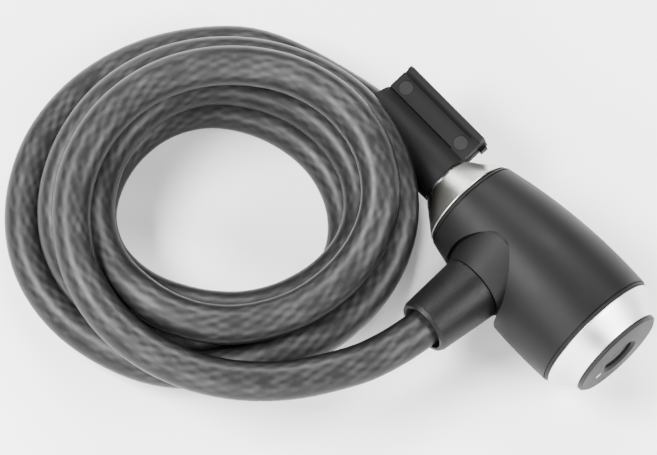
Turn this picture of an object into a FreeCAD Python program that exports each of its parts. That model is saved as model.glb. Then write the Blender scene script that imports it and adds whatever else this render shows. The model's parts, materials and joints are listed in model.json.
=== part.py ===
import FreeCAD, Part
import math
import os
import Sketcher

# Cable lock: a T-shaped key lock head, closed on the plug of its own coiled steel cable.
# Frame: +X along the lock's axis towards the key face, the cable boot towards -Y, +Z up.
# The origin is under the middle of the lock head, on the surface that it lies on.
# Lock parts are drawn about their own X axis, with X = 0 where the rear collar meets the
# housing, and then placed with one placement.

V = FreeCAD.Vector
os.makedirs("parts", exist_ok=True)
doc = FreeCAD.newDocument("CableLock")

# ---------------------------------------------------------------- driving sizes (mm, degrees)
SIZES = {
    # where the lock axis lies
    "axis_x": -28.65, "axis_y": 9.27, "axis_height": 21.11, "head_roll": -6.0, "bracket_roll": 12.0,
    # outer shell of the head
    "collar_length": 9.1, "collar_small": 9.2, "collar_large": 15.6, "spigot_radius": 10.0,
    "spigot_depth": 5.0, "seal_thick": 0.8, "rear_seal_radius": 15.2,
    "housing_widest": 21.2, "housing_widest_at": 45.0,
    "housing_arc": 190.0, "housing_front_at": 56.0, "edge_break": 0.6,
    "case_radius": 13.9, "slip": 0.1, "front_seal_radius": 20.5,
    "rear_groove_at": 1.6, "front_groove_at": 55.4, "shell_groove": 0.4,
    "bezel_large": 20.35, "bezel_end": 64.6, "bezel_small": 15.8, "bezel_lip": 14.5,
    "bezel_floor": 61.5,
    "face_radius": 15.5, "face_rim": 65.3, "face_front": 66.4, "recess_radius": 5.7,
    # branch that the cable leaves by
    "branch_x": 21.2, "branch_half_width": 12.2, "branch_half_height": 18.4,
    "branch_crease_at": 8.0, "branch_end": 18.2, "branch_radius": 10.5, "branch_bore": 8.0,
    "seam_break": 0.5, "boot_end": 39.0, "boot_mouth": 9.0, "boot_lip": 1.2, "boot_throat": 6.4,
    # lock works
    "plug_radius": 6.0, "plug_bore": 6.06, "plug_tip": 19.6, "plug_nose": 3.8,
    "groove_start": 12.7, "groove_end": 16.9, "groove_radius": 3.5,
    "bolt_x": 13.3, "bolt_width": 3.0, "bolt_depth": 5.0, "bolt_tip": 6.5, "bolt_top": 10.4,
    "bolt_arm_end": 24.6, "bolt_arm_under": 8.9, "bolt_gap": 0.25, "cover_under": 12.4,
    "cover_thick": 1.0,
    "cylinder_start": 27.0, "cylinder_radius": 9.0, "rotor_radius": 5.4, "rotor_bore": 5.46,
    "rotor_front": 61.3, "disc_radius": 4.5, "disc_thick": 1.9, "spacer_thick": 0.7,
    "disc_first": 33.0, "key_slot_wide": 2.2, "key_slot_high": 6.4,
    "clip_start": 21.9, "cam_start": 22.8, "cam_end": 26.4, "cam_radius": 6.0,
    "cam_lobe": 8.3, "cam_lobe_wide": 3.0, "stub_radius": 2.5, "stub_start": 21.6, "works_start": 21.4,
    "pin_radius": 1.25, "anchor_pin_in": 3.0, "anchor_half": 8.0, "sidebar_slot": 2.0,
    "sidebar_radius": 0.42, "press_gap": 0.02, "running_gap": 0.05,
    "spring_wire": 0.2, "spring_mean": 1.2, "spring_from_bolt": 5.0,
    "cylinder_pin_x": 50.0, "pin_seat": 6.6, "pin_notch": 3.5,
    # cable and its end fittings
    "cable_radius": 6.0, "socket_bore": 6.05, "ferrule_radius": 7.5, "ferrule_core": 6.5,
    "ferrule_start": 9.3, "ferrule_step": 16.0, "ferrule_end": 28.0,
    "barrel_radius": 6.9, "barrel_end": 40.0, "socket_start": 18.0,
    # transport bracket
    "bracket_start": 10.2, "bracket_end": 43.2, "jaw_radius": 8.5, "liner_radius": 7.5,
    "plate_edge": 17.0, "plate_top": 3.6, "jaw_gap": 1.2, "rail_wide": 2.0, "rail_top": 5.6,
    "slit_wide": 0.5, "slit_y": 7.6, "screw_y": 11.0, "screw_head": 2.35, "screw_shank": 1.5,
    "screw_near": 14.6, "screw_far": 39.2, "screw_sink": 1.2, "screw_head_tall": 1.1,
    "shank_length": 6.6, "nut_tall": 1.3, "nut_extra": 0.3, "tab_from": 13.6, "tab_wide": 2.6,
    "tab_reach": 1.0, "rail_step": 1.3, "screw_spare": 0.6, "groove_deep": 0.9,
    "undercut_wide": 1.3, "slit_part": 0.84,
    # coil of cable
    "coil_x": -79.55, "coil_y": -51.3, "coil_outer": 64.5, "coil_inner": 26.5, "coil_height": 48.0,
    "coil_gap": 0.6, "lead_end": 50.0,
}


class Size:
    """A size that is kept both as a number and as a formula on the sheet."""

    def __init__(self, value, formula):
        self.value = value
        self.formula = formula

    def _join(self, other, sign, value):
        text = other.formula if isinstance(other, Size) else repr(float(other))
        return Size(value, f"({self.formula} {sign} {text})")

    def __add__(self, other):
        return self._join(other, "+", self.value + number(other))

    def __sub__(self, other):
        return self._join(other, "-", self.value - number(other))

    def __mul__(self, factor):
        return self._join(factor, "*", self.value * number(factor))

    def __neg__(self):
        return Size(-self.value, f"(-1 * {self.formula})")


def number(size):
    return size.value if isinstance(size, Size) else float(size)


def formula(size):
    return size.formula if isinstance(size, Size) else repr(float(size))


sheet = doc.addObject("Spreadsheet::Sheet", "Sizes")
for row, (alias, value) in enumerate(SIZES.items(), start=1):
    sheet.set(f"A{row}", alias)
    sheet.set(f"B{row}", str(value))
    sheet.setAlias(f"B{row}", alias)
doc.recompute()
S = {alias: Size(float(value), f"Sizes.{alias}") for alias, value in SIZES.items()}

HEAD = FreeCAD.Placement(
    V(S["axis_x"].value, S["axis_y"].value, S["axis_height"].value),
    FreeCAD.Rotation(V(1, 0, 0), S["head_roll"].value))
BRACKET = FreeCAD.Placement(
    V(S["axis_x"].value, S["axis_y"].value, S["axis_height"].value),
    FreeCAD.Rotation(V(1, 0, 0), S["bracket_roll"].value))
NODES = []


# ---------------------------------------------------------------- ways of making a piece
def publish(piece, name, placement=None):
    """Name the finished piece, put it in its place and list it for export."""
    piece.Label = name
    if placement is not None:
        piece.Placement = placement.multiply(piece.Placement)
    NODES.append(piece)
    return piece


def bind(thing, **properties):
    """Tie the named properties to sizes on the sheet."""
    for prop, size in properties.items():
        setattr(thing, prop, number(size))
        thing.setExpression(prop, formula(size))
    return thing


def origin_plane(body, role):
    return next(f for f in body.Origin.OriginFeatures if f.Role == role)


def sketch_on(body, role, name):
    sketch = body.newObject("Sketcher::SketchObject", name)
    sketch.AttachmentSupport = [(origin_plane(body, role), "")]
    sketch.MapMode = "FlatFace"
    return sketch


def pin_point(sketch, edge, end, across, along):
    """Hold one end of a sketch edge at a place given by two sizes."""
    for kind, size in (("DistanceX", across), ("DistanceY", along)):
        index = sketch.addConstraint(
            Sketcher.Constraint(kind, -1, 1, edge, end, number(size)))
        sketch.setExpression(f"Constraints[{index}]", formula(size))


def outline(sketch, points, arc_edge=None, arc_radius=None, arc_middle=None):
    """Draw a closed outline; one of its edges may be an arc through arc_middle."""
    corners = [V(number(x), number(y), 0) for x, y in points]
    for index, corner in enumerate(corners):
        following = corners[(index + 1) % len(corners)]
        if index == arc_edge:
            middle = V(number(arc_middle[0]), number(arc_middle[1]), 0)
            sketch.addGeometry(Part.Arc(corner, middle, following), False)
        else:
            sketch.addGeometry(Part.LineSegment(corner, following), False)
    for index in range(len(corners)):
        if index == arc_edge:
            continue
        pin_point(sketch, index, 1, *points[index])
    if arc_edge is not None:
        before = (arc_edge - 1) % len(corners)
        after = (arc_edge + 1) % len(corners)
        ends = arc_ends(sketch, arc_edge, corners[arc_edge])
        sketch.addConstraint(Sketcher.Constraint("Coincident", before, 2, arc_edge, ends[0]))
        sketch.addConstraint(Sketcher.Constraint("Coincident", arc_edge, ends[1], after, 1))
        index = sketch.addConstraint(
            Sketcher.Constraint("Radius", arc_edge, number(arc_radius)))
        sketch.setExpression(f"Constraints[{index}]", formula(arc_radius))
        pin_point(sketch, arc_edge, ends[0], *points[arc_edge])
        closed = [i for i in range(len(corners)) if i not in (arc_edge, before)]
    else:
        closed = range(len(corners))
    for index in closed:
        if arc_edge is not None and index == arc_edge:
            continue
        sketch.addConstraint(Sketcher.Constraint(
            "Coincident", index, 2, (index + 1) % len(corners), 1))


def arc_ends(sketch, edge, first):
    """Which end of a sketch arc lies at its first corner, and which at its last."""
    start = sketch.getPoint(edge, 1)
    return (1, 2) if start.distanceToPoint(first) < 1e-6 else (2, 1)


def turned(name, points, **arc):
    """A body turned about its own X axis from an outline of (x, radius) points."""
    body = doc.addObject("PartDesign::Body", name)
    sketch = sketch_on(body, "XY_Plane", name + "_outline")
    outline(sketch, points, **arc)
    revolve = body.newObject("PartDesign::Revolution", name + "_turned")
    revolve.Profile = sketch
    revolve.ReferenceAxis = (sketch, ["H_Axis"])
    revolve.Angle = 360
    return body


def turned_down(name, points):
    """A body turned about its own Y axis from an outline of (radius, y) points."""
    body = doc.addObject("PartDesign::Body", name)
    sketch = sketch_on(body, "XY_Plane", name + "_outline")
    outline(sketch, points)
    revolve = body.newObject("PartDesign::Revolution", name + "_turned")
    revolve.Profile = sketch
    revolve.ReferenceAxis = (sketch, ["V_Axis"])
    revolve.Angle = 360
    return body


def rectangle(sketch, x0, x1, y0, y1):
    outline(sketch, [(x0, y0), (x1, y0), (x1, y1), (x0, y1)])


def pocket(body, sketch, both_ways=False, length=None, reverse=False):
    """Cut a sketch out of a body, and stop if nothing was cut."""
    doc.recompute()
    before = body.Shape.Volume
    cut = body.newObject("PartDesign::Pocket", sketch.Name + "_cut")
    cut.Profile = sketch
    if length is None:
        cut.Type = 1
    else:
        bind(cut, Length=length)
    cut.Midplane = both_ways
    cut.Reversed = reverse
    doc.recompute()
    if body.Shape.Volume > before - 1e-6:
        raise RuntimeError(f"{sketch.Name} cuts nothing")
    return cut


def rod(name, radius, length, base, direction, placement=None):
    """A plain cylinder from base along direction."""
    piece = doc.addObject("Part::Cylinder", name)
    bind(piece, Radius=radius, Height=length)
    piece.Placement = FreeCAD.Placement(V(*[number(c) for c in base]),
                                        FreeCAD.Rotation(V(0, 0, 1), V(*direction)))
    if placement is not None:
        piece.Placement = placement.multiply(piece.Placement)
    return piece


def block(name, length, width, height, base):
    """A plain box with its lowest corner at base."""
    piece = doc.addObject("Part::Box", name)
    bind(piece, Length=length, Width=width, Height=height)
    piece.Placement.Base = V(*[number(c) for c in base])
    return piece


def fuse(name, *pieces):
    joined = doc.addObject("Part::MultiFuse", name)
    joined.Shapes = list(pieces)
    joined.Refine = True
    return joined


def cut(name, base, *tools):
    tool = tools[0] if len(tools) == 1 else fuse(name + "_tools", *tools)
    piece = doc.addObject("Part::Cut", name)
    piece.Base = base
    piece.Tool = tool
    return piece


# ---------------------------------------------------------------- head: outer shell
def rear_collar():
    body = turned("rear_collar", [
        (-S["collar_length"], S["plug_bore"]),
        (-S["collar_length"], S["collar_small"] - 0.4),
        (-S["collar_length"] + 0.4, S["collar_small"]),
        (Size(0, "0"), S["collar_large"]),
        (Size(0, "0"), S["spigot_radius"]),
        (S["spigot_depth"], S["spigot_radius"]),
        (S["spigot_depth"], S["plug_bore"])])
    publish(body, "rear_collar", HEAD)


def ring(name, start, end, inner, outer):
    return turned(name, [(start, inner), (start, outer), (end, outer), (end, inner)])


def housing_radius(x):
    """Radius of the barrel-shaped housing at x, a number or a size."""
    arc = S["housing_arc"]
    away = x - S["housing_widest_at"]
    sag = arc.value - math.sqrt(arc.value ** 2 - number(away) ** 2)
    text = (f"{S['housing_widest'].formula} - {arc.formula}"
            f" + sqrt({arc.formula} * {arc.formula} - {away.formula} * {away.formula})")
    return Size(S["housing_widest"].value - sag, f"({text})")


def branch_slot(name, start, end):
    """A tall round-ended block across the lock's axis, from start to end below it."""
    x = S["branch_x"]
    half = S["branch_half_width"]
    tall = S["branch_half_height"] - half
    slab = block(f"{name}_slab", half * 2, end - start, tall * 2, (x - half, -end, -tall))
    rounds = [rod(f"{name}_round_{side}", half, end - start, (x, -start, tall * side),
                  (0, -1, 0)) for side in (1, -1)]
    return fuse(name, slab, *rounds)


def housing_shell():
    start = S["seal_thick"]
    end = S["housing_front_at"]
    bore = S["case_radius"] + S["slip"]
    rear_at = start + S["edge_break"]
    front_at = end - S["edge_break"]
    middle_at = S["housing_widest_at"] - 15.0
    barrel = turned(
        "housing_barrel",
        [(start, bore),
         (start, housing_radius(rear_at) - S["edge_break"]),
         (rear_at, housing_radius(rear_at)),
         (front_at, housing_radius(front_at)),
         (end, S["front_seal_radius"]),
         (end, bore)],
        arc_edge=2, arc_radius=S["housing_arc"],
        arc_middle=(middle_at, housing_radius(middle_at)))
    branch_x = S["branch_x"]
    slope_length = S["branch_end"] - S["branch_crease_at"]
    cone = doc.addObject("Part::Cone", "branch_cone")
    bind(cone, Radius1=S["branch_half_height"], Radius2=S["branch_radius"],
         Height=slope_length)
    cone.Placement = FreeCAD.Placement(
        V(branch_x.value, -S["branch_crease_at"].value, 0),
        FreeCAD.Rotation(V(0, 0, 1), V(0, -1, 0)))
    root = rod("branch_root", S["branch_half_height"], S["branch_crease_at"],
               (branch_x, 0, 0), (0, -1, 0))
    hood = fuse("branch_hood", cone, root)
    branch = doc.addObject("Part::Common", "branch")
    branch.Base = hood
    branch.Tool = branch_slot("branch_slot", Size(0, "0"), S["branch_end"])
    recess = branch_slot("branch_recess", S["branch_crease_at"], S["branch_end"] * 2)
    solid = fuse("housing_solid", cut("recessed_barrel", barrel, recess), branch)
    core = rod("housing_bore", bore, end, (0, 0, 0), (1, 0, 0))
    throat = rod("branch_throat", S["branch_bore"], S["branch_end"] * 2,
                 (branch_x, 0, 0), (0, -1, 0))
    boot_seat = rod("boot_seat", S["branch_radius"] + S["running_gap"], S["branch_end"],
                    (branch_x, -S["branch_end"], 0), (0, -1, 0))
    grooves = []
    for name, groove_at in (("rear_groove", S["rear_groove_at"]),
                            ("front_groove", S["front_groove_at"])):
        floor = housing_radius(groove_at) - S["shell_groove"]
        grooves.append(ring(name, groove_at, groove_at + S["shell_groove"], floor, floor + 2))
    shell = cut("housing_shell", solid, core, throat, boot_seat, *grooves)
    publish(shell, "housing_shell", HEAD)


def front_bezel():
    start = S["housing_front_at"] + S["seal_thick"]
    body = turned("front_bezel", [
        (start, S["cylinder_radius"] + S["slip"]),
        (start, S["bezel_large"]),
        (S["bezel_end"], S["bezel_small"]),
        (S["bezel_end"], S["bezel_lip"]),
        (S["bezel_floor"], S["bezel_lip"]),
        (S["bezel_floor"], S["cylinder_radius"] + S["slip"])])
    publish(body, "front_bezel", HEAD)


def face_plate():
    body = turned("face_plate", [
        (S["bezel_floor"], S["recess_radius"]),
        (S["bezel_floor"], S["bezel_lip"] - S["slip"]),
        (S["bezel_end"], S["bezel_lip"] - S["slip"]),
        (S["bezel_end"], S["face_radius"]),
        (S["face_rim"], S["face_radius"]),
        (S["face_rim"] + 0.6, S["face_radius"] - 0.8),
        (S["face_front"], S["recess_radius"] + 1.0),
        (S["face_front"] - 0.8, S["recess_radius"])])
    publish(body, "face_plate", HEAD)


# ---------------------------------------------------------------- head: lock works
def lock_case():
    end = S["housing_front_at"]
    solid = rod("case_solid", S["case_radius"], end - S["seal_thick"],
                (S["seal_thick"], 0, 0), (1, 0, 0))
    spigot = rod("case_spigot", S["spigot_radius"] + S["slip"], S["spigot_depth"],
                 (0, 0, 0), (1, 0, 0))
    plug_hole = rod("case_plug_hole", S["plug_bore"], S["plug_tip"] + 1, (0, 0, 0), (1, 0, 0))
    works = rod("case_works", S["cylinder_radius"] + S["slip"], end - S["works_start"],
                (S["works_start"], 0, 0), (1, 0, 0))
    gap = S["bolt_gap"]
    bolt_way = block("case_bolt_way", S["bolt_arm_end"] - S["bolt_x"] + gap * 2,
                     S["bolt_depth"] + gap * 2, S["case_radius"],
                     (S["bolt_x"] - gap, -(S["bolt_depth"] * 0.5) - gap, 0))
    anchor = rod("case_anchor_hole", S["ferrule_core"] + S["slip"], S["case_radius"],
                 (S["branch_x"], -S["ferrule_start"], 0), (0, -1, 0))
    pins = [rod("case_pin_hole", S["pin_radius"], S["case_radius"],
                (S["cylinder_pin_x"], 0, 0), (0, 0, -1)),
            rod("case_anchor_pin_hole", S["pin_radius"], S["anchor_half"] * 2,
                (S["branch_x"] - S["anchor_half"], -(S["ferrule_start"] + S["anchor_pin_in"]), 0),
                (1, 0, 0))]
    case = cut("lock_case", solid, spigot, plug_hole, works, bolt_way, anchor, *pins)
    publish(case, "lock_case", HEAD)


def cylinder_body():
    start = S["cylinder_start"]
    tube = ring("cylinder_tube", start, S["bezel_floor"], S["rotor_bore"], S["cylinder_radius"])
    notch = rod("cylinder_pin_seat", S["pin_radius"], S["pin_notch"],
                (S["cylinder_pin_x"], 0, -S["pin_seat"]), (0, 0, -1))
    body = cut("cylinder_body", tube, notch)
    publish(body, "cylinder_body", HEAD)


def cylinder_pin():
    pin = rod("cylinder_pin", S["pin_radius"], S["case_radius"] - S["pin_seat"],
              (S["cylinder_pin_x"], 0, -S["pin_seat"]), (0, 0, -1), HEAD)
    publish(pin, "cylinder_pin")


DISCS = 7


def disc_start(index):
    """Where disc number index starts; a spacer follows every disc but the last."""
    return S["disc_first"] + (S["disc_thick"] + S["spacer_thick"]) * index


def key_rotor():
    back = S["cylinder_start"] - 0.4
    pack_end = disc_start(DISCS) - S["spacer_thick"]
    inner = S["disc_radius"] + S["running_gap"]
    body = turned("key_rotor", [
        (S["stub_start"], Size(0, "0")),
        (S["stub_start"], S["stub_radius"]),
        (back, S["stub_radius"]),
        (back, S["rotor_radius"]),
        (S["rotor_front"], S["rotor_radius"]),
        (S["rotor_front"], inner),
        (pack_end + 1.5, inner),
        (S["disc_first"], inner),
        (S["disc_first"], Size(0, "0"))])
    slot = sketch_on(body, "XZ_Plane", "sidebar_slot")
    rectangle(slot, S["disc_first"], pack_end, S["disc_radius"] - 0.5, S["rotor_radius"] + 1)
    pocket(body, slot, both_ways=True, length=S["sidebar_slot"])
    publish(body, "key_rotor", HEAD)


def slotted_disc(name, start, thick, radius):
    """A thin disc with the key's slot through it."""
    body = ring(name, start, start + thick, Size(0, "0"), radius)
    slot = sketch_on(body, "XY_Plane", name + "_slot")
    half = S["key_slot_high"] * 0.5
    rectangle(slot, start - 1, start + thick + 1, -half, half)
    pocket(body, slot, both_ways=True, length=S["key_slot_wide"])
    return body


def disc_pack():
    for index in range(DISCS):
        start = disc_start(index)
        disc = slotted_disc(f"key_disc_{index + 1}", start, S["disc_thick"], S["disc_radius"])
        publish(disc, f"key_disc_{index + 1}", HEAD)
        if index < DISCS - 1:
            spacer = slotted_disc(f"disc_spacer_{index + 1}", start + S["disc_thick"],
                                  S["spacer_thick"], S["disc_radius"])
            publish(spacer, f"disc_spacer_{index + 1}", HEAD)


def keyway_guard():
    start = disc_start(DISCS) - S["spacer_thick"]
    guard = slotted_disc("keyway_guard", start, S["rotor_front"] - start, S["disc_radius"])
    publish(guard, "keyway_guard", HEAD)


def sidebar():
    pack_end = disc_start(DISCS) - S["spacer_thick"]
    bar = rod("sidebar", S["sidebar_radius"], pack_end - S["disc_first"] - 0.4,
              (S["disc_first"] + 0.2, 0, S["disc_radius"] + 0.5), (1, 0, 0), HEAD)
    publish(bar, "sidebar")


def locking_cam():
    """A round cam with one lobe, which lifts the bolt's arm."""
    hub = rod("cam_hub", S["cam_radius"], S["cam_end"] - S["cam_start"],
              (S["cam_start"], 0, 0), (1, 0, 0))
    wide = S["cam_lobe_wide"]
    lobe = block("cam_lobe_block", S["cam_end"] - S["cam_start"], wide, S["cam_lobe"],
                 (S["cam_start"], -(wide * 0.5), 0))
    solid = fuse("cam_solid", hub, lobe)
    hole = rod("cam_hole", S["stub_radius"] + S["press_gap"], S["cam_end"] + 1, (0, 0, 0), (1, 0, 0))
    publish(cut("locking_cam", solid, hole), "locking_cam", HEAD)


def lock_bolt():
    blade = block("bolt_blade", S["bolt_width"], S["bolt_depth"],
                  S["bolt_top"] - S["bolt_tip"], (S["bolt_x"], -(S["bolt_depth"] * 0.5),
                                                  S["bolt_tip"]))
    arm = block("bolt_arm", S["bolt_arm_end"] - S["bolt_x"], S["bolt_depth"],
                S["bolt_top"] - S["bolt_arm_under"],
                (S["bolt_x"], -(S["bolt_depth"] * 0.5), S["bolt_arm_under"]))
    bolt = fuse("lock_bolt", blade, arm)
    publish(bolt, "lock_bolt", HEAD)


def bolt_cover():
    """The lid that closes the bolt's slot, with the spring's seat under it."""
    gap = S["bolt_gap"]
    lid = block("bolt_lid", S["bolt_arm_end"] - S["bolt_x"] + gap * 2,
                S["bolt_depth"] + gap * 2, S["cover_thick"],
                (S["bolt_x"] - gap, -(S["bolt_depth"] * 0.5) - gap, S["cover_under"]))
    publish(lid, "bolt_cover", HEAD)


def bolt_spring():
    """A small coil spring between the bolt and its cover."""
    wire = S["spring_wire"].value
    mean = S["spring_mean"].value
    rise = S["cover_under"].value - S["bolt_top"].value - 2 * wire
    coils = 3
    helix = Part.makeHelix(rise / coils, rise, mean)
    section = Part.Wire(Part.makeCircle(wire, V(mean, 0, 0), V(0, 1, 0)))
    spring = Part.Wire(helix).makePipeShell([section], True, True)
    piece = doc.addObject("Part::Feature", "bolt_spring")
    piece.Shape = spring
    piece.Placement.Base = V(S["bolt_x"].value + S["spring_from_bolt"].value, 0,
                             S["bolt_top"].value + wire)
    publish(piece, "bolt_spring", HEAD)


def rotor_clip():
    """Snap ring that keeps the cam on the rotor."""
    clip = ring("rotor_clip", S["clip_start"], S["cam_start"] - 0.1,
                S["stub_radius"] + S["press_gap"], S["stub_radius"] + 1.8)
    publish(clip, "rotor_clip", HEAD)


# ---------------------------------------------------------------- head: cable branch
def boot_ferrule():
    """Steel ferrule on the cable's end, seated in the lock case."""
    x = S["branch_x"]
    body = turned_down("ferrule_turned", [
        (Size(0, "0"), -S["ferrule_start"]),
        (S["ferrule_core"], -S["ferrule_start"]),
        (S["ferrule_core"], -S["ferrule_step"] + 1.5),
        (S["ferrule_radius"], -S["ferrule_step"] + 1.5),
        (S["ferrule_radius"], -S["ferrule_end"]),
        (S["socket_bore"], -S["ferrule_end"]),
        (S["socket_bore"], -S["ferrule_step"]),
        (Size(0, "0"), -S["ferrule_step"])])
    hole = sketch_on(body, "YZ_Plane", "ferrule_pin_hole")
    across = -(S["ferrule_start"] + S["anchor_pin_in"])
    index = hole.addGeometry(
        Part.Circle(V(across.value, 0, 0), V(0, 0, 1), S["pin_radius"].value), False)
    pin_point(hole, index, 3, across, Size(0, "0"))
    radius = hole.addConstraint(Sketcher.Constraint("Radius", index, S["pin_radius"].value))
    hole.setExpression(f"Constraints[{radius}]", S["pin_radius"].formula)
    pocket(body, hole, both_ways=True, length=S["ferrule_core"] * 2 + 2)
    body.Placement.Base = V(x.value, 0, 0)
    publish(body, "boot_ferrule", HEAD)


def anchor_pin():
    """Cross pin that holds the ferrule in the case."""
    half = S["anchor_half"]
    pin = rod("anchor_pin", S["pin_radius"], half * 2,
              (S["branch_x"] - half, -(S["ferrule_start"] + S["anchor_pin_in"]), 0),
              (1, 0, 0), HEAD)
    publish(pin, "anchor_pin")


def boot():
    lip = S["boot_lip"]
    body = turned_down("boot", [
        (S["ferrule_radius"] + S["running_gap"], -S["branch_end"]),
        (S["branch_radius"] - S["seam_break"], -S["branch_end"]),
        (S["branch_radius"], -S["branch_end"] - S["seam_break"]),
        (S["boot_mouth"], -S["boot_end"] + lip),
        (S["boot_mouth"] - lip * 0.5, -S["boot_end"]),
        (S["boot_throat"] + 1.0, -S["boot_end"]),
        (S["boot_throat"], -S["boot_end"] + 2.5),
        (S["boot_throat"], -S["ferrule_end"]),
        (S["ferrule_radius"] + S["running_gap"], -S["ferrule_end"])])
    body.Placement.Base = V(S["branch_x"].value, 0, 0)
    publish(body, "boot", HEAD)


# ---------------------------------------------------------------- plug end
def locking_plug():
    tip = S["plug_tip"]
    shoulder = S["collar_length"] + 0.3
    body = turned("locking_plug", [
        (tip, Size(0, "0")),
        (tip, S["plug_nose"]),
        (tip - 2.0, S["plug_radius"]),
        (S["groove_end"], S["plug_radius"]),
        (S["groove_end"], S["groove_radius"]),
        (S["groove_start"], S["groove_radius"]),
        (S["groove_start"], S["plug_radius"]),
        (-shoulder, S["plug_radius"]),
        (-shoulder, S["barrel_radius"]),
        (-S["barrel_end"], S["barrel_radius"]),
        (-S["barrel_end"], S["socket_bore"]),
        (-S["socket_start"], S["socket_bore"]),
        (-S["socket_start"], Size(0, "0"))])
    publish(body, "locking_plug", HEAD)


def bracket_liner():
    liner = ring("bracket_liner", -S["bracket_end"] + 1, -S["bracket_start"] - 0.5,
                 S["barrel_radius"] + S["press_gap"], S["liner_radius"])
    publish(liner, "bracket_liner", BRACKET)


def screw_places():
    return (-S["screw_near"], -S["screw_far"])


def jaw(side):
    """Half of the bracket's sleeve, with its plate; side is 1 above and -1 below."""
    word = "upper" if side > 0 else "lower"
    length = S["bracket_end"] - S["bracket_start"]
    end = -S["bracket_end"]
    half_gap = S["jaw_gap"] * 0.5
    thick = S["plate_top"] - half_gap
    sleeve = rod(f"{word}_sleeve", S["jaw_radius"], length, (end, 0, 0), (1, 0, 0))
    plate = block(f"{word}_plate", length, S["plate_edge"], thick,
                  (end, 0, half_gap if side > 0 else -S["plate_top"]))
    pieces = [sleeve, plate]
    if side > 0:
        rail_y = S["plate_edge"] - S["rail_wide"]
        pieces.append(block("rail", length - S["rail_step"], S["rail_wide"],
                            S["rail_top"] - half_gap,
                            (end + S["rail_step"], rail_y, half_gap)))
    else:
        pieces.append(block("stop_tab", length + S["tab_reach"], S["tab_wide"], thick,
                            (end, S["tab_from"], -S["plate_top"])))
    solid = fuse(f"{word}_solid", *pieces)
    wide = S["jaw_radius"] * 2 + 2
    other_half = block(f"{word}_other_half", length + 8, S["plate_edge"] + wide, wide,
                       (end - 2, -wide, -half_gap if side < 0 else half_gap - wide))
    bore = rod(f"{word}_bore", S["liner_radius"], length + 4, (end - 2, 0, 0), (1, 0, 0))
    tools = [other_half, bore]
    for index, x in enumerate(screw_places()):
        tools.append(rod(f"{word}_screw_way_{index}", S["screw_shank"], 20,
                         (x, S["screw_y"], -10), (0, 0, 1)))
        if side > 0:
            tools.append(rod(f"screw_head_seat_{index}", S["screw_head"], 5,
                             (x, S["screw_y"], S["plate_top"] - S["screw_sink"]), (0, 0, 1)))
        else:
            tools.append(rod(f"nut_seat_{index}", S["screw_head"] + S["nut_extra"], 5,
                             (x, S["screw_y"], S["nut_tall"] + S["slip"] - S["plate_top"]), (0, 0, -1)))
    if side > 0:
        tools.append(block("slit", length * S["slit_part"], S["slit_wide"], S["plate_top"],
                           (end - 0.1, S["slit_y"], S["plate_top"] - S["groove_deep"])))
        tools.append(block("rail_undercut", length - 3, S["undercut_wide"], S["groove_deep"] * 2,
                           (end - 0.1, S["plate_edge"] - S["rail_wide"] - S["groove_deep"],
                            S["plate_top"] - S["groove_deep"])))
    piece = cut(f"bracket_{word}_jaw", solid, *tools)
    publish(piece, f"bracket_{word}_jaw", BRACKET)


def bracket_screws():
    """Two flat-headed screws, and the nuts under them, each pair in one node."""
    screws = []
    nuts = []
    for index, x in enumerate(screw_places()):
        head = rod(f"screw_head_{index}", S["screw_head"] - S["slip"], S["screw_head_tall"],
                   (x, S["screw_y"], S["plate_top"] - S["screw_sink"] + S["running_gap"]),
                   (0, 0, 1))
        shank = rod(f"screw_shank_{index}", S["screw_shank"] - S["running_gap"],
                    S["shank_length"],
                    (x, S["screw_y"], S["plate_top"] - S["shank_length"] - S["screw_spare"]),
                    (0, 0, 1))
        screws += [head, shank]
        nut = rod(f"nut_{index}", S["screw_head"] + S["nut_extra"] - S["slip"], S["nut_tall"],
                  (x, S["screw_y"], -S["plate_top"]), (0, 0, 1))
        hole = rod(f"nut_hole_{index}", S["screw_shank"], 4,
                   (x, S["screw_y"], -S["plate_top"] - 1), (0, 0, 1))
        nuts.append(cut(f"nut_ring_{index}", nut, hole))
    publish(fuse("bracket_screws", *screws), "bracket_screws", BRACKET)
    publish(fuse("bracket_nuts", *nuts), "bracket_nuts", BRACKET)


# ---------------------------------------------------------------- cable
def rounded_path(points):
    """Straight runs joined by tangent arcs, each as large as its two runs allow."""
    edges = []
    radii = []
    start = points[0]
    for before, corner, after in zip(points, points[1:], points[2:]):
        arrive = (corner - before).normalize()
        leave = (after - corner).normalize()
        turn = arrive.getAngle(leave)
        reach = 0.45 * min(before.distanceToPoint(corner), corner.distanceToPoint(after))
        first = corner - arrive * reach
        last = corner + leave * reach
        inward = (leave - arrive).normalize()
        radius = reach / math.tan(turn / 2)
        middle = corner + inward * (radius / math.cos(turn / 2) - radius)
        edges.append(Part.LineSegment(start, first).toShape())
        edges.append(Part.Arc(first, middle, last).toShape())
        radii.append(radius)
        start = last
    edges.append(Part.LineSegment(start, points[-1]).toShape())
    return Part.Wire(edges), radii


def cable_tube(name, points):
    """The cable along a route that is given by hand."""
    wire, radii = rounded_path(points)
    radius = S["cable_radius"].value
    along = (points[1] - points[0]).normalize()
    section = Part.Wire(Part.makeCircle(radius, points[0], along))
    tube = wire.makePipeShell([section], True, False)
    expected = math.pi * radius ** 2 * wire.Length
    print(f"{name}: length {wire.Length:.1f}, radii {[round(r, 1) for r in radii]},"
          f" volume {tube.Volume:.0f} of {expected:.0f}")
    if abs(tube.Volume - expected) > 0.02 * expected:
        raise RuntimeError(f"{name} has the wrong volume")
    piece = doc.addObject("Part::Feature", name)
    piece.Shape = tube
    return piece


def on_head(x, y, z):
    return HEAD.multVec(V(x, y, z))


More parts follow.
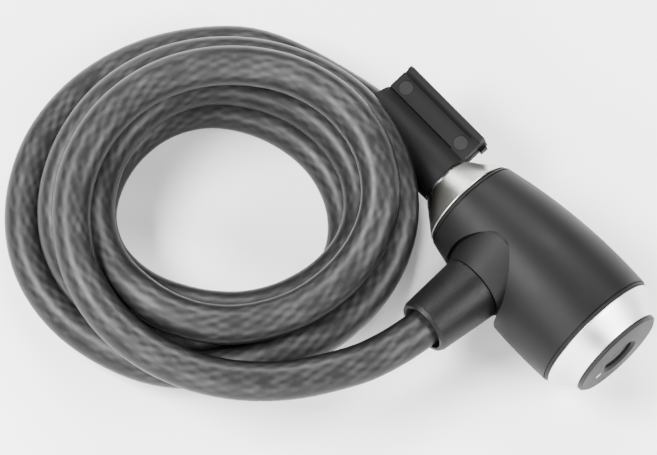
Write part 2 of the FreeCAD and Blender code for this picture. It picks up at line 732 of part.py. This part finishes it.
def cable_leads():
    plug_route = [
        on_head(-S["socket_start"].value, 0, 0),
        on_head(-S["lead_end"].value, 0, 0),
    ]
    publish(cable_tube("cable_plug_lead", plug_route), "cable_plug_lead")
    boot_route = [
        on_head(S["branch_x"].value, -S["ferrule_step"].value, 0),
        on_head(S["branch_x"].value, -36, 0),
        V(-8, -46, 24),
        V(-17, -68, 23),
    ]
    whole = cable_tube("boot_lead_whole", boot_route)
    heap = doc.addObject("Part::Cylinder", "heap_clearance")
    bind(heap, Radius=S["coil_outer"] + 0.3, Height=S["coil_height"])
    heap.Placement.Base = V(S["coil_x"].value, S["coil_y"].value, 0)
    publish(cut("cable_boot_lead", whole, heap), "cable_boot_lead")


def cable_coil():
    """The outer shape of the coiled cable, cut back around the head's plug end."""
    inner = S["coil_inner"]
    outer = S["coil_outer"]
    top = S["coil_height"]
    body = doc.addObject("PartDesign::Body", "coil_heap")
    sketch = sketch_on(body, "XZ_Plane", "coil_section")
    outline(sketch, [
        (inner + 3, Size(0, "0")), (outer - 3, Size(0, "0")), (outer, 4), (outer, top - 18),
        (outer - 7, top - 4), (outer - 14, top), (inner + 10, top - 4), (inner + 1, top - 20),
        (inner, 5)])
    revolve = body.newObject("PartDesign::Revolution", "coil_turned")
    revolve.Profile = sketch
    revolve.ReferenceAxis = (sketch, ["V_Axis"])
    revolve.Angle = 360
    body.Placement.Base = V(S["coil_x"].value, S["coil_y"].value, 0)
    sleeve = rod("coil_sleeve_gap", S["jaw_radius"] + S["coil_gap"], S["lead_end"],
                 (-S["lead_end"], 0, 0), (1, 0, 0), HEAD)
    coil = cut("cable_coil", body, sleeve)
    publish(coil, "cable_coil")


# ---------------------------------------------------------------- build, check and export
rear_collar()
publish(ring("rear_seal", Size(0, "0"), S["seal_thick"], S["spigot_radius"] + 0.05,
             S["rear_seal_radius"]), "rear_seal", HEAD)
housing_shell()
publish(ring("front_seal", S["housing_front_at"], S["housing_front_at"] + S["seal_thick"],
             S["cylinder_radius"] + 0.15, S["front_seal_radius"]), "front_seal", HEAD)
front_bezel()
face_plate()
lock_case()
cylinder_body()
cylinder_pin()
key_rotor()
disc_pack()
keyway_guard()
sidebar()
locking_cam()
rotor_clip()
lock_bolt()
bolt_cover()
bolt_spring()
boot_ferrule()
anchor_pin()
boot()
locking_plug()
bracket_liner()
jaw(1)
jaw(-1)
bracket_screws()
cable_leads()
cable_coil()

doc.recompute()
for thing in doc.Objects:
    if any(word in thing.State for word in ("Invalid", "Error")):
        raise RuntimeError(f"{thing.Name}: {thing.State}")
for piece in NODES:
    shape = piece.Shape
    if shape.isNull() or not shape.isValid() or not shape.Solids:
        raise RuntimeError(f"{piece.Label}: no valid solid")
    shape.exportStep(os.path.join("parts", piece.Label + ".step"))
    box = shape.BoundBox
    print(f"{piece.Label}: {len(shape.Solids)} solid(s), {shape.Volume:.1f} mm3,"
          f" x {box.XMin:.2f}..{box.XMax:.2f} y {box.YMin:.2f}..{box.YMax:.2f}"
          f" z {box.ZMin:.2f}..{box.ZMax:.2f}")
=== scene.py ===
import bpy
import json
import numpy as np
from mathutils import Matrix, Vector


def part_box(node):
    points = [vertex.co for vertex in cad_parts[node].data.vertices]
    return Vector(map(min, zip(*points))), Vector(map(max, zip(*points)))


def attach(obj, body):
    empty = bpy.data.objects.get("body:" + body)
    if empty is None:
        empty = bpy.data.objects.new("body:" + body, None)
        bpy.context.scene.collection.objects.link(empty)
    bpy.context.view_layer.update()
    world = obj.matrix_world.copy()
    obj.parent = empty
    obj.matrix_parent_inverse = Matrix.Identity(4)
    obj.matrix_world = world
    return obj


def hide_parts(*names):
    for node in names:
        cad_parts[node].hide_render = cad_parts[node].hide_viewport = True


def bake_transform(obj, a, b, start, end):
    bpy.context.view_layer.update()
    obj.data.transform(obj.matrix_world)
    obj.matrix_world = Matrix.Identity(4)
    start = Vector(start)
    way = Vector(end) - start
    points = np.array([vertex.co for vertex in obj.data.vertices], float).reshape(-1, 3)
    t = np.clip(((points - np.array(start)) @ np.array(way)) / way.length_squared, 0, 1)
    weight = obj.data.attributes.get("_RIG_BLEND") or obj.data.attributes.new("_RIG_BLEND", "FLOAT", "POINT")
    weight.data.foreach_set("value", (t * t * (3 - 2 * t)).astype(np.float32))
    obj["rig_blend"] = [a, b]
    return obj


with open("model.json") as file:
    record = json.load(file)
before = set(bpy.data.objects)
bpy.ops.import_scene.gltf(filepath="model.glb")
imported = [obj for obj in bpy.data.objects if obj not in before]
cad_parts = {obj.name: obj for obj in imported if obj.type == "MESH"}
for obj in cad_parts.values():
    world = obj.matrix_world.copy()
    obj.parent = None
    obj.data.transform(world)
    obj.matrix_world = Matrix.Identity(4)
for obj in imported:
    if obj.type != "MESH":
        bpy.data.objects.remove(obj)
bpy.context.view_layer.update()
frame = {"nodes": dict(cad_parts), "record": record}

import json
import math

import bmesh
import bpy
from mathutils import Euler, Matrix, Vector

# Looks of the cable lock: coiled cable, materials, small trim, studio.  Metres throughout.
NODES = frame["nodes"]
MM = 0.001

# Lock axis: the head's own X axis starts at the rear seal and is rolled about itself.
seal_low, seal_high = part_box("rear_seal")
HEAD_ORIGIN = Vector((seal_low.x, (seal_low.y + seal_high.y) / 2, (seal_low.z + seal_high.z) / 2))
HEAD_ROLL = math.radians(-6.0)
HEAD = Matrix.Translation(HEAD_ORIGIN) @ Euler((HEAD_ROLL, 0, 0)).to_matrix().to_4x4()


# ---------------------------------------------------------------- node helpers
class Shader:
    """A material whose Principled shader is fed by small procedural patterns."""

    def __init__(self, name, roughness, metallic=0.0, specular=0.5, coat=0.0,
                 coat_roughness=0.1):
        self.material = bpy.data.materials.new(name)
        self.material.use_nodes = True
        self.nodes = self.material.node_tree.nodes
        self.links = self.material.node_tree.links
        self.principled = next(n for n in self.nodes if n.type == "BSDF_PRINCIPLED")
        sockets = self.principled.inputs
        sockets["Roughness"].default_value = roughness
        sockets["Metallic"].default_value = metallic
        sockets["Specular IOR Level"].default_value = specular
        sockets["Coat Weight"].default_value = coat
        sockets["Coat Roughness"].default_value = coat_roughness
        self.place = self.nodes.new("ShaderNodeTexCoord").outputs["Object"]

    def plug(self, value, socket):
        if isinstance(value, bpy.types.NodeSocket):
            self.links.new(value, socket)
        else:
            socket.default_value = value

    def maths(self, operation, first, second=0.0, third=0.0):
        node = self.nodes.new("ShaderNodeMath")
        node.operation = operation
        for socket, value in zip(node.inputs, (first, second, third)):
            self.plug(value, socket)
        return node.outputs[0]

    def stretched(self, scale, vector=None):
        node = self.nodes.new("ShaderNodeVectorMath")
        node.operation = "MULTIPLY"
        self.plug(vector or self.place, node.inputs[0])
        node.inputs[1].default_value = scale
        return node.outputs[0]

    def noise(self, scale, detail=3.0, vector=None, roughness=0.55):
        """Noise of that many cells per metre, or per unit of a given vector."""
        node = self.nodes.new("ShaderNodeTexNoise")
        self.plug(vector or self.place, node.inputs["Vector"])
        node.inputs["Scale"].default_value = scale
        node.inputs["Detail"].default_value = detail
        node.inputs["Roughness"].default_value = roughness
        return node.outputs["Fac"]

    def spread(self, value, low, high, to_low=0.0, to_high=1.0):
        node = self.nodes.new("ShaderNodeMapRange")
        for socket, number in zip(node.inputs, (value, low, high, to_low, to_high)):
            self.plug(number, socket)
        return node.outputs[0]

    def mix(self, factor, first, second):
        node = self.nodes.new("ShaderNodeMix")
        node.data_type = "RGBA"
        self.plug(factor, node.inputs["Factor"])
        for name, value in (("A", first), ("B", second)):
            socket = next(s for s in node.inputs if s.name == name and s.type == "RGBA")
            self.plug((*value, 1.0) if isinstance(value, tuple) else value, socket)
        return next(s for s in node.outputs if s.type == "RGBA")

    def worn_edges(self):
        """Bright where the surface turns outwards sharply."""
        geometry = self.nodes.new("ShaderNodeNewGeometry")
        return self.spread(geometry.outputs["Pointiness"], 0.52, 0.60)

    def finish(self, colour, roughness=None, height=None, strength=0.2, distance=0.0001):
        self.plug((*colour, 1.0) if isinstance(colour, tuple) else colour,
                  self.principled.inputs["Base Color"])
        if roughness is not None:
            self.plug(roughness, self.principled.inputs["Roughness"])
        if height is not None:
            bump = self.nodes.new("ShaderNodeBump")
            bump.inputs["Strength"].default_value = strength
            bump.inputs["Distance"].default_value = distance
            self.plug(height, bump.inputs["Height"])
            self.plug(bump.outputs["Normal"], self.principled.inputs["Normal"])
        return self.material


# ---------------------------------------------------------------- materials
def moulded(name, colour, roughness, grain, grain_height, wear, specular=0.12):
    """Matt moulded plastic: fine grain, slow changes of shade, paler rubbed edges."""
    shader = Shader(name, roughness, specular=specular)
    slow = shader.noise(45.0, 4.0)
    fine = shader.noise(grain, 2.0)
    darker = tuple(c * 0.82 for c in colour)
    lighter = tuple(c * 1.18 for c in colour)
    body = shader.mix(shader.spread(slow, 0.3, 0.7), darker, lighter)
    body = shader.mix(shader.maths("MULTIPLY", shader.spread(fine, 0.35, 0.7), 0.25),
                      body, lighter)
    rubbed = shader.maths("MULTIPLY", shader.worn_edges(), wear)
    body = shader.mix(rubbed, body, tuple(min(1.0, c * 2.4) for c in colour))
    rough = shader.spread(slow, 0.3, 0.7, roughness - 0.05, roughness + 0.06)
    return shader.finish(body, rough, fine, grain_height, 0.00012)


def turned_metal(name, colour, roughness, line_scale, cloud, cloud_scale, wear=0.3):
    """Metal turned about the lock's axis: fine rings, with soft cloudy patches."""
    shader = Shader(name, roughness, metallic=1.0)
    lines = shader.noise(1.0, 2.0, shader.stretched((line_scale, 60.0, 60.0)))
    clouds = shader.noise(cloud_scale, 1.5, roughness=0.4)
    darker = tuple(c * (1.0 - cloud) for c in colour)
    body = shader.mix(shader.spread(clouds, 0.30, 0.70), darker, colour)
    body = shader.mix(shader.maths("MULTIPLY", shader.spread(lines, 0.35, 0.65), 0.22),
                      body, tuple(min(1.0, c * 1.15) for c in colour))
    body = shader.mix(shader.maths("MULTIPLY", shader.worn_edges(), wear), body,
                      (0.95, 0.94, 0.92))
    rough = shader.spread(clouds, 0.3, 0.7, roughness - 0.05, roughness + 0.09)
    return shader.finish(body, rough, lines, 0.12, 0.00005)


WEAVE_PER_METRE = 150.0
WEAVE_AROUND = 13


def cable_jacket():
    """Smoke-tinted vinyl over braided steel; the weave shows softly through it, and painted shade darkens
    the cable's edges as seen from the camera.
    """
    shader = Shader("cable_vinyl", 0.38, specular=0.15, coat=0.03, coat_roughness=0.32)
    lay = shader.nodes.new("ShaderNodeAttribute")
    lay.attribute_name = "lay"
    split = shader.nodes.new("ShaderNodeSeparateXYZ")
    shader.plug(lay.outputs["Vector"], split.inputs[0])
    along, around = split.outputs[0], split.outputs[1]
    sway = shader.noise(260.0, 2.0)
    along = shader.maths("MULTIPLY_ADD", sway, 0.0028, along)
    run = shader.maths("MULTIPLY", along, math.tau * WEAVE_PER_METRE)
    wrap = shader.maths("MULTIPLY", around, math.tau * WEAVE_AROUND)
    right = shader.maths("SINE", shader.maths("ADD", run, wrap))
    left = shader.maths("SINE", shader.maths("SUBTRACT", run, wrap))
    weave = shader.maths("ADD", right, shader.maths("MULTIPLY", left, 0.55))
    patches = shader.noise(150.0, 3.0)
    clear = shader.spread(patches, 0.34, 0.66, 0.05, 0.85)
    dashes = shader.maths("MULTIPLY", shader.spread(weave, -1.5, 1.5), clear)
    body = shader.mix(dashes, (0.0115, 0.0115, 0.0118), (0.047, 0.047, 0.048))
    # Painted shade: towards the cable's edges as seen from the camera, the colour goes near-black.
    painted_shade_facing = shader.nodes.new("ShaderNodeLayerWeight")
    painted_shade_facing.inputs["Blend"].default_value = 0.5
    rim = shader.spread(painted_shade_facing.outputs["Facing"], 0.12, 0.66)
    body = shader.mix(rim, body, (0.003, 0.003, 0.003))
    scuffs = shader.noise(1.0, 3.0, shader.stretched((500.0, 500.0, 900.0)))
    rough = shader.spread(scuffs, 0.3, 0.75, 0.33, 0.44)
    return shader.finish(body, rough, weave, 0.02, 0.0001)


def inner_metal(name, colour, roughness):
    """Machined metal inside the lock: tool marks and uneven tone."""
    shader = Shader(name, roughness, metallic=1.0)
    marks = shader.noise(1.0, 3.0, shader.stretched((2600.0, 160.0, 160.0)))
    tone = shader.noise(140.0, 3.0)
    body = shader.mix(shader.spread(tone, 0.3, 0.7), tuple(c * 0.78 for c in colour), colour)
    rough = shader.spread(marks, 0.3, 0.7, roughness - 0.06, roughness + 0.08)
    return shader.finish(body, rough, marks, 0.15, 0.00005)


RECESS_RADIUS = 5.95 * MM
FACE_FRONT = 66.2 * MM


def key_face():
    """Grey face; inside its keyway recess the colour is painted near-black as shade, with one paler ring
    part way down painted on as a highlight.
    """
    shader = Shader("face_grey", 0.46, specular=0.07)
    local = NODES["face_plate"].matrix_world.inverted()
    middle = local @ (HEAD @ Vector((FACE_FRONT, 0.0, 0.0)))
    split = shader.nodes.new("ShaderNodeSeparateXYZ")
    shader.plug(shader.place, split.inputs[0])
    side = shader.maths("SUBTRACT", split.outputs[1], middle.y)
    rise = shader.maths("SUBTRACT", split.outputs[2], middle.z)
    apart = shader.maths("SQRT", shader.maths(
        "ADD", shader.maths("MULTIPLY", side, side), shader.maths("MULTIPLY", rise, rise)))
    depth = shader.maths("SUBTRACT", middle.x, split.outputs[0])
    inside = shader.maths("LESS_THAN", apart, RECESS_RADIUS)
    grain = shader.noise(6000.0, 2.0)
    tone = shader.noise(60.0, 3.0)
    flat = shader.mix(shader.spread(tone, 0.3, 0.7), (0.0085, 0.0085, 0.0088),
                      (0.0125, 0.0125, 0.0130))
    # Painted highlight: a paler ring 1.3 to 2.4 mm deep in the recess stands in for light on the keyway's
    # metal.
    painted_highlight_band = shader.maths("MULTIPLY", shader.spread(depth, 1.3 * MM, 1.7 * MM),
                        shader.spread(depth, 2.4 * MM, 2.0 * MM))
    # Painted shade: the rest of the recess, inside its radius, is near-black.
    painted_recess_shade_and_highlight = shader.mix(shader.maths("MULTIPLY", painted_highlight_band, shader.spread(tone, 0.35, 0.6)),
                      (0.0025, 0.0025, 0.0025), (0.16, 0.16, 0.155))
    body = shader.mix(inside, flat, painted_recess_shade_and_highlight)
    rubbed = shader.maths("MULTIPLY", shader.worn_edges(), 0.25)
    body = shader.mix(rubbed, body, (0.04, 0.04, 0.04))
    rough = shader.spread(tone, 0.3, 0.7, 0.39, 0.5)
    return shader.finish(body, rough, grain, 0.08, 0.00012)


MATERIALS = {
    "soft_black": moulded("soft_black", (0.0044, 0.0044, 0.0046), 0.50, 5200.0, 0.10, 0.10,
                          specular=0.14),
    "boot_plastic": moulded("boot_plastic", (0.0044, 0.0044, 0.0046), 0.42, 2300.0, 1.0, 0.12,
                            specular=0.16),
    "bracket_plastic": moulded("bracket_plastic", (0.0045, 0.0045, 0.0047), 0.54, 3600.0,
                               0.20, 0.2, specular=0.10),
    "screw_cap": moulded("screw_cap", (0.0075, 0.0075, 0.0078), 0.46, 4200.0, 0.10, 0.3),
    "face_grey": key_face(),
    "seal_rubber": moulded("seal_rubber", (0.007, 0.007, 0.007), 0.62, 3000.0, 0.15, 0.05),
    "nickel_trim": turned_metal("nickel_trim", (0.66, 0.655, 0.61), 0.30, 5200.0, 0.30, 60.0),
    "satin_trim": turned_metal("satin_trim", (0.74, 0.74, 0.745), 0.42, 6200.0, 0.22, 110.0),
    "case_metal": inner_metal("case_metal", (0.52, 0.52, 0.53), 0.42),
    "hardened_steel": inner_metal("hardened_steel", (0.58, 0.58, 0.59), 0.32),
    "fastener_steel": inner_metal("fastener_steel", (0.60, 0.60, 0.60), 0.38),
    "brass_works": inner_metal("brass_works", (0.66, 0.52, 0.27), 0.34),
    "cable_vinyl": cable_jacket(),
}


def dress(thing, slot_name):
    thing.data.materials.clear()
    thing.data.materials.append(MATERIALS[slot_name])


for subpart in frame["record"]["subparts"]:
    dress(NODES[subpart["node"]], subpart["material_slot"])


# ---------------------------------------------------------------- cable
CABLE_RADIUS = 6.0 * MM
COIL_MIDDLE = Vector((-79.5, -51.3, 0.0)) * MM
COIL_START = 120.0
STATIONS_PER_TURN = 18
CLOSEST_POINTS = 0.2 * MM

# Where the cable leaves the locking plug, and where it reaches the boot.
PLUG_RUN = [(-46.6, 9.3, 21.1), (-60.0, 9.3, 21.1), (-73.0, 9.2, 21.1)]
BOOT_RUN = [(-11.9, -53.2, 26.5), (-9.2, -44.5, 26.6), (-7.7, -35.0, 25.9),
            (-7.45, -26.0, 24.8), (-7.45, -16.0, 23.8), (-7.45, -6.6, 22.8)]

# The coil, station by station: (radius, height) of the cable's middle, in millimetres.
COIL = [
    # first turn: out of the plug, round the outside, then up over the bracket's sleeve
    (58.6, 17.5), (57.9, 15.0), (58.7, 12.0), (59.5, 9.5), (59.5, 7.5), (58.0, 6.5),
    (56.0, 6.5), (52.5, 7.0), (49.0, 7.5), (48.0, 10.0), (47.5, 15.0), (48.8, 18.5),
    (52.0, 20.5), (55.5, 23.0), (58.0, 26.5), (57.5, 30.5), (55.0, 32.5), (51.5, 32.0),
    # second turn: down from the sleeve to the floor
    (49.5, 30.0), (48.5, 28.0), (48.0, 26.5), (47.5, 24.5), (47.0, 21.5), (46.7, 19.0),
    (46.0, 18.0), (44.0, 17.5), (41.0, 16.5), (38.0, 13.0), (38.0, 8.0), (42.5, 6.0),
    (48.0, 6.0), (51.5, 6.0), (53.5, 6.0), (53.5, 6.0), (52.5, 6.0), (51.7, 6.0),
    # third turn: flat on the floor
    (51.3, 6.0), (51.3, 6.0), (50.0, 6.0), (48.5, 6.0), (47.2, 6.0), (45.5, 6.0),
    (43.0, 6.0), (39.5, 6.0), (35.5, 6.0), (30.8, 6.0), (28.5, 6.0), (31.0, 6.0),
    (36.0, 6.0), (40.0, 6.0), (42.0, 6.0), (42.2, 6.0), (41.5, 6.0), (40.5, 6.0),
    # fourth turn: the inmost, climbing on to the layer below it
    (40.2, 6.0), (40.4, 6.5), (39.5, 6.5), (38.0, 6.0), (36.5, 6.0), (35.3, 6.5),
    (33.0, 8.0), (30.5, 10.5), (29.2, 14.0), (29.0, 17.0), (30.0, 17.5), (32.3, 17.0),
    (36.0, 17.5), (41.0, 18.0), (46.0, 18.0), (47.7, 18.0), (46.8, 18.0), (45.2, 18.0),
    # fifth turn: second layer, rising to the top of the heap
    (43.8, 18.0), (43.2, 18.0), (41.0, 18.0), (38.5, 18.0), (36.3, 18.0), (34.8, 18.5),
    (34.2, 20.0), (34.0, 22.5), (34.3, 25.5), (36.0, 27.0), (38.0, 27.0), (40.3, 27.0),
    (44.5, 30.0), (49.0, 34.5), (52.3, 38.5), (51.7, 41.5), (48.5, 42.5), (45.0, 42.0),
    # last turn: across the top and out to the boot
    (42.0, 40.5), (40.3, 39.0), (40.0, 36.5), (40.0, 34.0), (40.2, 32.0), (40.8, 30.0),
    (41.8, 29.0), (44.0, 28.5), (46.8, 28.0), (50.2, 27.5), (54.8, 27.5), (60.5, 27.5),
]


def coil_points():
    """Control points; the spline runs inside them, so each lies a little further out."""
    step = math.tau / STATIONS_PER_TURN
    points = []
    for station, (radius, height) in enumerate(COIL):
        angle = math.radians(COIL_START) + station * step
        radius /= math.cos(step / 2)
        outward = Vector((math.cos(angle), math.sin(angle), 0.0))
        points.append(COIL_MIDDLE + (outward * radius + Vector((0, 0, height))) * MM)
    return points


def smooth_line(points, name):
    """The middle line of the cable, read from a NURBS spline with these control points."""
    curve = bpy.data.curves.new(name, "CURVE")
    curve.dimensions = "3D"
    curve.resolution_u = 6
    spline = curve.splines.new("NURBS")
    spline.points.add(len(points) - 1)
    for point, place in zip(spline.points, points):
        point.co = (*place, 1.0)
    spline.order_u = 3
    spline.use_endpoint_u = True
    holder = bpy.data.objects.new(name, curve)
    bpy.context.scene.collection.objects.link(holder)
    bpy.context.view_layer.update()
    drawn = bpy.data.meshes.new_from_object(holder)
    line = [vertex.co.copy() for vertex in drawn.vertices]
    bpy.data.objects.remove(holder)
    bpy.data.meshes.remove(drawn)
    bpy.data.curves.remove(curve)
    kept = line[:1]
    for place in line[1:]:
        if (place - kept[-1]).length > CLOSEST_POINTS:
            kept.append(place)
    return kept


def running_length(line):
    lengths = [0.0]
    for before, after in zip(line, line[1:]):
        lengths.append(lengths[-1] + (after - before).length)
    return lengths


RING = 24


def tube(name, line, radius):
    """A round tube along the line, with how far along and around each point lies."""
    lengths = running_length(line)
    mesh = bpy.data.meshes.new(name)
    places, lay, faces = [], [], []
    side = Vector((0.0, 0.0, 1.0))
    for index, centre in enumerate(line):
        ahead = line[min(index + 1, len(line) - 1)] - line[max(index - 1, 0)]
        ahead.normalize()
        side = (side - ahead * side.dot(ahead)).normalized()
        other = ahead.cross(side)
        for step in range(RING):
            angle = math.tau * step / RING
            places.append(centre + (side * math.cos(angle) + other * math.sin(angle)) * radius)
            lay.append((lengths[index], step / RING, 0.0))
    for index in range(len(line) - 1):
        for step in range(RING):
            following = (step + 1) % RING
            first, second = index * RING, (index + 1) * RING
            faces.append((first + step, first + following, second + following, second + step))
    last = (len(line) - 1) * RING
    faces.append(tuple(range(RING))[::-1])
    faces.append(tuple(last + step for step in range(RING)))
    mesh.from_pydata(places, [], faces)
    mesh.update()
    attribute = mesh.attributes.new("lay", "FLOAT_VECTOR", "CORNER")
    for polygon in mesh.polygons:
        polygon.use_smooth = len(polygon.vertices) == 4
        corners = [mesh.loops[loop].vertex_index for loop in polygon.loop_indices]
        wraps = {lay[v][1] for v in corners} >= {0.0, (RING - 1) / RING}
        for loop, vertex in zip(polygon.loop_indices, corners):
            along, around, _ = lay[vertex]
            if wraps and around == 0.0 and len(corners) == 4:
                around = 1.0
            attribute.data[loop].vector = (along, around, 0.0)
    thing = bpy.data.objects.new(name, mesh)
    bpy.context.scene.collection.objects.link(thing)
    return thing, lengths


route = [Vector(p) * MM for p in PLUG_RUN] + coil_points() + [Vector(p) * MM for p in BOOT_RUN]
line = smooth_line(route, "cable_line")
cable, cable_lengths = tube("cable", line, CABLE_RADIUS)
dress(cable, "cable_vinyl")

# The cable follows the plug's side, and its last stretch gives way to the lock head.
GIVING_STRETCH = 0.24
BOOT_REACH = 0.050
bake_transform(cable, "cable_side", "lock_head", start=tuple(line[0]), end=tuple(line[-1]))
total = cable_lengths[-1]
weights = cable.data.attributes["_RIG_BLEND"].data
for index, length in enumerate(cable_lengths):
    part = (length - (total - BOOT_REACH - GIVING_STRETCH)) / GIVING_STRETCH
    part = min(1.0, max(0.0, part))
    for step in range(RING):
        weights[index * RING + step].value = part * part * (3.0 - 2.0 * part)

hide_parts("cable_coil", "cable_plug_lead", "cable_boot_lead")


# ---------------------------------------------------------------- small trim on the head
BEAD_AROUND = 96
BEAD_ACROSS = 10


def bead(name, x, radius, thick, slot_name):
    """A thin rolled rim about the lock's axis."""
    mesh = bpy.data.meshes.new(name)
    rim = bmesh.new()
    rings = []
    for step in range(BEAD_AROUND):
        angle = math.tau * step / BEAD_AROUND
        ring = []
        for turn in range(BEAD_ACROSS):
            lean = math.tau * turn / BEAD_ACROSS
            out = (radius + math.cos(lean) * thick) * MM
            ring.append(rim.verts.new(HEAD @ Vector((
                (x + math.sin(lean) * thick) * MM, math.cos(angle) * out,
                math.sin(angle) * out))))
        rings.append(ring)
    for ring, following in zip(rings, rings[1:] + rings[:1]):
        for turn in range(BEAD_ACROSS):
            after = (turn + 1) % BEAD_ACROSS
            rim.faces.new((ring[turn], following[turn], following[after], ring[after]))
    bmesh.ops.recalc_face_normals(rim, faces=rim.faces[:])
    for face in rim.faces:
        face.smooth = True
    rim.to_mesh(mesh)
    rim.free()
    thing = bpy.data.objects.new(name, mesh)
    bpy.context.scene.collection.objects.link(thing)
    dress(thing, slot_name)
    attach(thing, "lock_head")
    return thing


bead("rear_rim_bead", 0.1, 15.42, 0.24, "nickel_trim")
bead("front_rim_bead", 56.95, 20.22, 0.22, "satin_trim")


MARK_OUTLINE = [(-1.0, -0.45), (0.5, -0.45), (1.1, 0.0), (0.5, 0.45), (-1.0, 0.45)]
MARK_LAYERS = [(-0.25, 1.0), (0.10, 1.0), (0.16, 0.82)]
MARK_MIDDLE = Vector((66.24, -8.1, -2.55))


def index_mark():
    """A small raised pointer beside the keyway, which shows where the key goes in."""
    mesh = bpy.data.meshes.new("index_mark")
    mark = bmesh.new()
    inward = Vector((0.0, 5.97, 1.88)).normalized()
    across = Vector((1.0, 0.0, 0.0)).cross(inward)
    layers = []
    for lift, size in MARK_LAYERS:
        layers.append([mark.verts.new(HEAD @ ((
            MARK_MIDDLE + inward * u * size + across * v * size
            + Vector((lift, 0.0, 0.0))) * MM)) for u, v in MARK_OUTLINE])
    count = len(MARK_OUTLINE)
    for low, high in zip(layers, layers[1:]):
        for step in range(count):
            after = (step + 1) % count
            mark.faces.new((low[step], low[after], high[after], high[step]))
    mark.faces.new(layers[-1])
    mark.faces.new(layers[0][::-1])
    bmesh.ops.recalc_face_normals(mark, faces=mark.faces[:])
    mark.to_mesh(mesh)
    mark.free()
    thing = bpy.data.objects.new("index_mark", mesh)
    bpy.context.scene.collection.objects.link(thing)
    dress(thing, "satin_trim")
    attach(thing, "lock_head")


index_mark()


# ---------------------------------------------------------------- studio
FLOOR_HALF = 3.0


def floor():
    shader = Shader("studio_floor", 0.7, specular=0.2)
    tone = shader.noise(3.0, 2.0)
    paper = shader.noise(900.0, 2.0)
    shade = shader.mix(shader.spread(tone, 0.3, 0.7), (0.94, 0.94, 0.94), (0.96, 0.96, 0.96))
    material = shader.finish(shade, None, paper, 0.02, 0.0001)
    mesh = bpy.data.meshes.new("studio_floor")
    corners = [(FLOOR_HALF * x, FLOOR_HALF * y, 0) for x, y in ((-1, -1), (1, -1), (1, 1), (-1, 1))]
    mesh.from_pydata(corners, [], [(0, 1, 2, 3)])
    thing = bpy.data.objects.new("studio_floor", mesh)
    bpy.context.scene.collection.objects.link(thing)
    thing.data.materials.append(material)


floor()

CAMERA_AZIMUTH = math.radians(47.8)
CAMERA_HEIGHT = math.radians(69.0)
LOOK_AT = Vector((-52.25, -26.93, 18.5)) * MM
CAMERA_AWAY = 1.2


def direction(azimuth, elevation):
    """From the object towards a place seen at that azimuth and elevation."""
    return Vector((math.sin(azimuth) * math.cos(elevation),
                   -math.cos(azimuth) * math.cos(elevation), math.sin(elevation)))


def softbox(name, azimuth, elevation, away, width, height, power):
    lamp = bpy.data.lights.new(name, "AREA")
    lamp.shape = "RECTANGLE"
    lamp.size = width
    lamp.size_y = height
    lamp.energy = power
    holder = bpy.data.objects.new(name, lamp)
    bpy.context.scene.collection.objects.link(holder)
    towards = direction(math.radians(azimuth), math.radians(elevation))
    holder.location = LOOK_AT + towards * away
    holder.rotation_euler = (-towards).to_track_quat("-Z", "Y").to_euler()


# name, azimuth, elevation (degrees), distance, width, height (metres), power (watts)
LIGHTS = [
    ("key_light", -42.0, 52.0, 0.9, 0.46, 0.24, 25.0),
    ("front_light", 12.0, 34.0, 0.9, 0.6, 0.14, 9.0),
    ("right_light", 118.0, 38.0, 0.9, 0.45, 0.4, 16.0),
    ("low_front_light", 42.0, 14.0, 0.9, 0.95, 0.42, 11.0),
    ("low_left_light", 256.0, 14.0, 0.9, 0.3, 0.16, 3.0),
    ("back_light", 215.0, 45.0, 1.0, 0.6, 0.2, 15.0),
]
for light in LIGHTS:
    softbox(*light)

world = bpy.data.worlds.new("studio")
world.use_nodes = True
background = next(n for n in world.node_tree.nodes if n.type == "BACKGROUND")
background.inputs["Color"].default_value = (1.0, 1.0, 1.0, 1.0)
background.inputs["Strength"].default_value = 0.10
bpy.context.scene.world = world

camera_data = bpy.data.cameras.new("camera")
camera_data.lens = 216.0
camera_data.sensor_width = 36.0
camera_data.clip_start = 0.05
camera_data.clip_end = 20.0
camera = bpy.data.objects.new("camera", camera_data)
bpy.context.scene.collection.objects.link(camera)
towards_camera = direction(CAMERA_AZIMUTH, CAMERA_HEIGHT)
camera.location = LOOK_AT + towards_camera * CAMERA_AWAY
camera.rotation_euler = (-towards_camera).to_track_quat("-Z", "Y").to_euler()
bpy.context.scene.camera = camera
